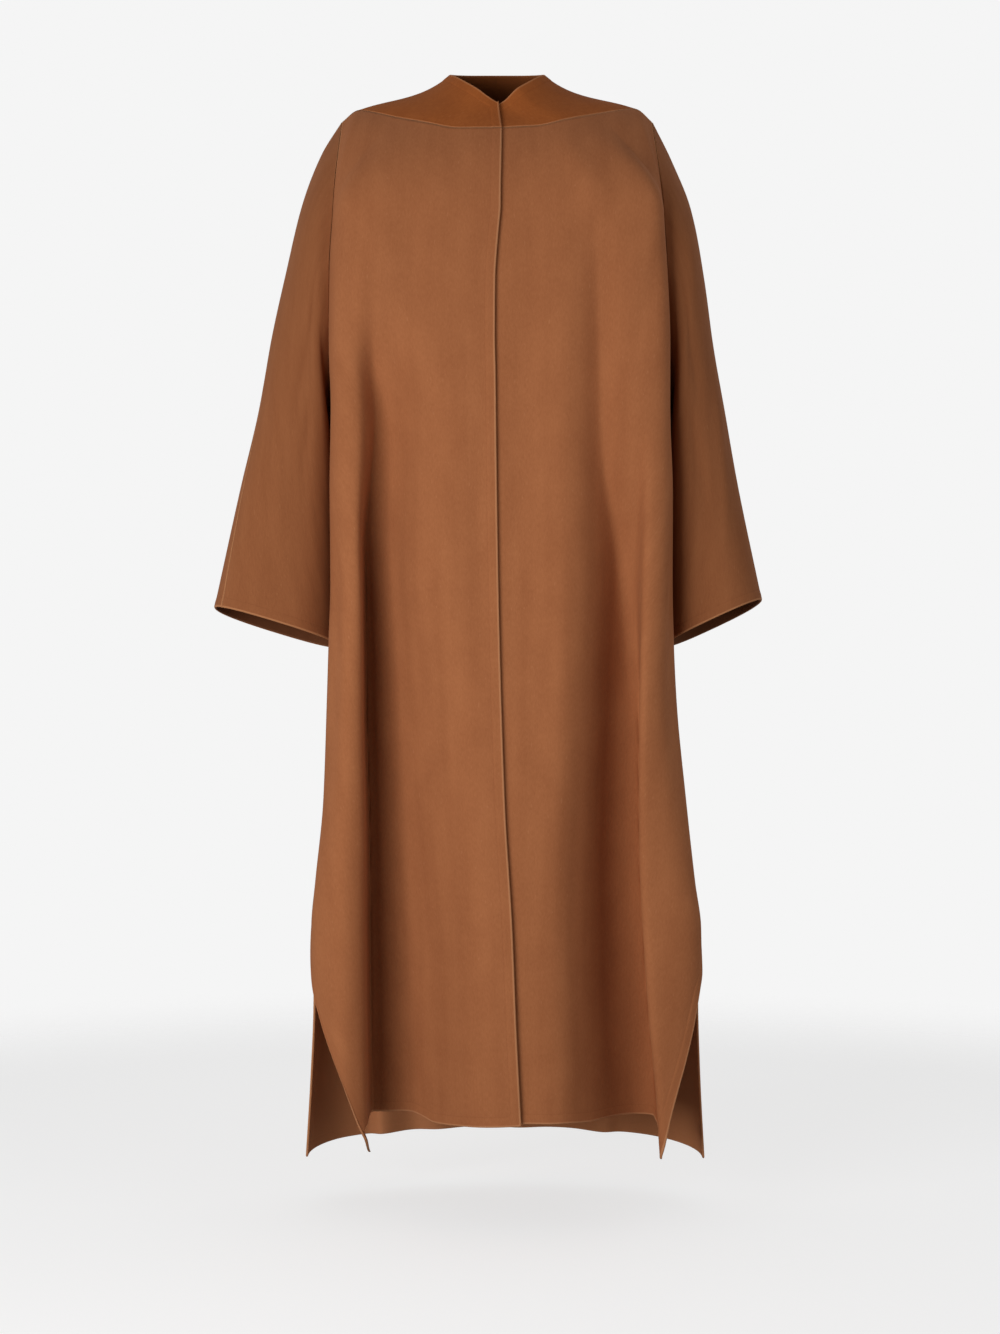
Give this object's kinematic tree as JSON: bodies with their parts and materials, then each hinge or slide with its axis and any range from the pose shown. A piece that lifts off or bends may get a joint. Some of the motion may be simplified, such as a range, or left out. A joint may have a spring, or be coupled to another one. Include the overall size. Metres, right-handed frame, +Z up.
{
  "type": "cashmere coat",
  "caption": "Long loose cashmere coat, hollow as worn, with a round yoke, wide sleeves, a lapped front and side slits.",
  "frame": {"origin": "middle of the line between the shoulder corners, where the wearer's shoulders hold the coat", "axes": "+Z up along the coat's length, the front faces -Y, +X is the wearer's left"},
  "size_m": [0.7468, 0.3386, 1.4888],
  "materials": {
    "cashmere": "soft brushed nap, caramel brown",
    "yoke_cashmere": "brushed nap laid the other way, redder and darker brown",
    "stud_metal": "bronze coloured plating, satin"
  },
  "bodies": {
    "root": {"front_right": "cashmere", "front_left": "cashmere", "back": "cashmere", "sleeve_right_front": "cashmere", "sleeve_right_back": "cashmere", "sleeve_left_front": "cashmere", "sleeve_left_back": "cashmere", "yoke": "yoke_cashmere", "press_stud": "stud_metal"}
  },
  "joints": []
}
